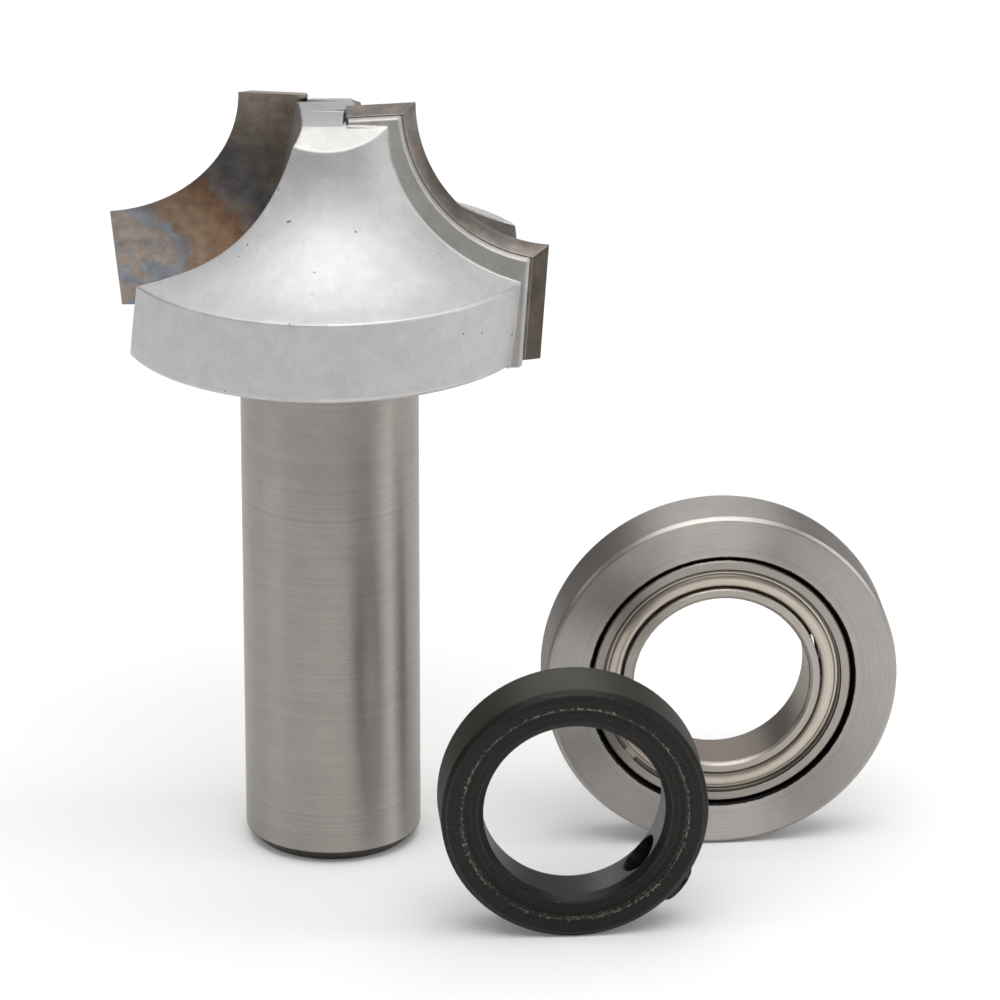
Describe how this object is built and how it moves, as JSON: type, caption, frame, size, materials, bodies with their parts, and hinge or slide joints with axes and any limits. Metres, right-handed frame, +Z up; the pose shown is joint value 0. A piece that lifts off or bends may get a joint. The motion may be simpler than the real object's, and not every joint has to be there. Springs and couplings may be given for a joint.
{
  "type": "router bit",
  "caption": "Two-flute router bit with concave carbide edges, standing on its shank beside its guide bearing and its black stop collar.",
  "frame": {"origin": "centre of the shank's end face, on which the bit stands", "axes": "+Z up the shank towards the cutting head, -Y towards the viewer of the picture, +X towards the bearing"},
  "size_m": [0.0563, 0.0343, 0.056],
  "materials": {
    "blasted_steel": "sand blasted, matt",
    "carbide_back": "ground, dark",
    "carbide_face": "ground, heat tinted",
    "turned_steel": "turned, satin",
    "bearing_steel": "ground, bright",
    "shield_steel": "pressed, warm satin",
    "spring_wire": "drawn",
    "cage_steel": "pressed, satin",
    "ball_steel": "polished",
    "blackened_steel": "black oxide, satin",
    "blackened_screw": "black oxide, satin"
  },
  "bodies": {
    "fixed_parts": {"cutter_body": "blasted_steel", "carbide_tip_right": "carbide_back", "carbide_tip_left": "carbide_face", "guide_ring": "turned_steel", "outer_race": "bearing_steel", "front_shield": "shield_steel", "rear_shield": "shield_steel", "front_snap_ring": "spring_wire", "rear_snap_ring": "spring_wire", "stop_collar": "blackened_steel"},
    "turning_ring": {"inner_race": "bearing_steel"},
    "ball_set": {"ball_cage": "cage_steel", "ball_01": "ball_steel", "ball_02": "ball_steel", "ball_03": "ball_steel", "ball_04": "ball_steel", "ball_05": "ball_steel", "ball_06": "ball_steel", "ball_07": "ball_steel", "ball_08": "ball_steel", "ball_09": "ball_steel", "ball_10": "ball_steel", "ball_11": "ball_steel", "ball_12": "ball_steel", "ball_13": "ball_steel", "ball_14": "ball_steel"},
    "screw": {"set_screw": "blackened_screw"}
  },
  "joints": [
    {"name": "inner_race_spin", "type": "hinge", "parent": "fixed_parts", "child": "turning_ring", "pos_m": [0.02789, -0.00023, 0.0127], "axis": [-0.0872, 0.9962, 0], "continuous": true},
    {"name": "cage_spin", "type": "hinge", "parent": "fixed_parts", "child": "ball_set", "pos_m": [0.02789, -0.00023, 0.0127], "axis": [-0.0872, 0.9962, 0], "continuous": true},
    {"name": "set_screw_travel", "type": "slide", "parent": "fixed_parts", "child": "screw", "axis": [0.7524, 0.0592, -0.6561], "range_m": [-0.0008, 0.001]}
  ],
  "couplings": [
    {"joint": "cage_spin", "follows": "inner_race_spin", "ratio": 0.448}
  ]
}
